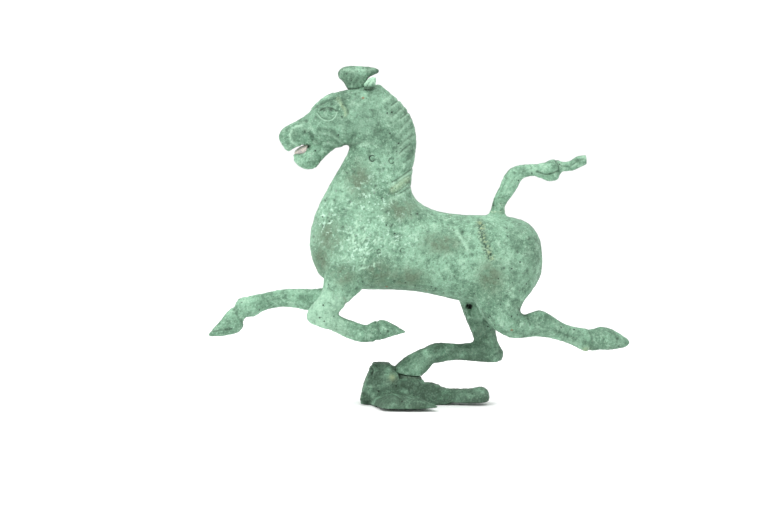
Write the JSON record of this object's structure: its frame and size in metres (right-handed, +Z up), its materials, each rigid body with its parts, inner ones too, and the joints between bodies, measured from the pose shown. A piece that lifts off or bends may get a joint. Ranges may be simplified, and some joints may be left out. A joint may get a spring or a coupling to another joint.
{
  "type": "horse statuette",
  "caption": "Patinated bronze horse at the flying pace, tail raised and mouth open, balanced with one hind hoof on a flying swallow.",
  "frame": {"origin": "on the ground under the middle of the statuette's overall box", "axes": "+Z up; the horse faces -X; its left side, the one with the folded foreleg, faces -Y"},
  "size_m": [0.2105, 0.0594, 0.1689],
  "materials": {
    "patinated_bronze": "bronze under a dull mint-green mineral patina with olive and grey-lilac patches",
    "dark_bronze": "bronze under a darker, greyer green patina",
    "core_plug_bronze": "patinated bronze plug, filed flush",
    "solder": "pale yellow-green corroded solder",
    "casting_filler": "rough pale filler metal",
    "mouth_putty": "matt grey-lilac filling",
    "raw_bronze": "bare brown bronze, hidden",
    "iron": "rusty iron, hidden"
  },
  "bodies": {
    "root": {"left_body_shell": "patinated_bronze", "right_body_shell": "patinated_bronze", "left_neck_plug_front": "core_plug_bronze", "left_neck_plug_rear": "core_plug_bronze", "left_flank_plug_front": "core_plug_bronze", "left_flank_plug_rear": "core_plug_bronze", "right_neck_plug_front": "core_plug_bronze", "right_neck_plug_rear": "core_plug_bronze", "right_flank_plug_front": "core_plug_bronze", "right_flank_plug_rear": "core_plug_bronze", "haunch_patch": "casting_filler", "left_foreleg": "patinated_bronze", "left_foreleg_dowel": "raw_bronze", "right_foreleg": "patinated_bronze", "right_foreleg_dowel": "raw_bronze", "left_hind_leg": "patinated_bronze", "left_hind_leg_dowel": "raw_bronze", "right_hind_leg": "dark_bronze", "support_rod": "iron", "tail": "patinated_bronze", "tail_dowel": "raw_bronze", "tail_solder": "solder", "head": "patinated_bronze", "throat_ring": "raw_bronze", "tongue": "mouth_putty", "forelock": "patinated_bronze", "forelock_pin": "raw_bronze", "left_ear": "patinated_bronze", "right_ear": "patinated_bronze", "swallow": "dark_bronze", "rod_nut": "iron", "hoof_solder": "solder"}
  },
  "joints": []
}
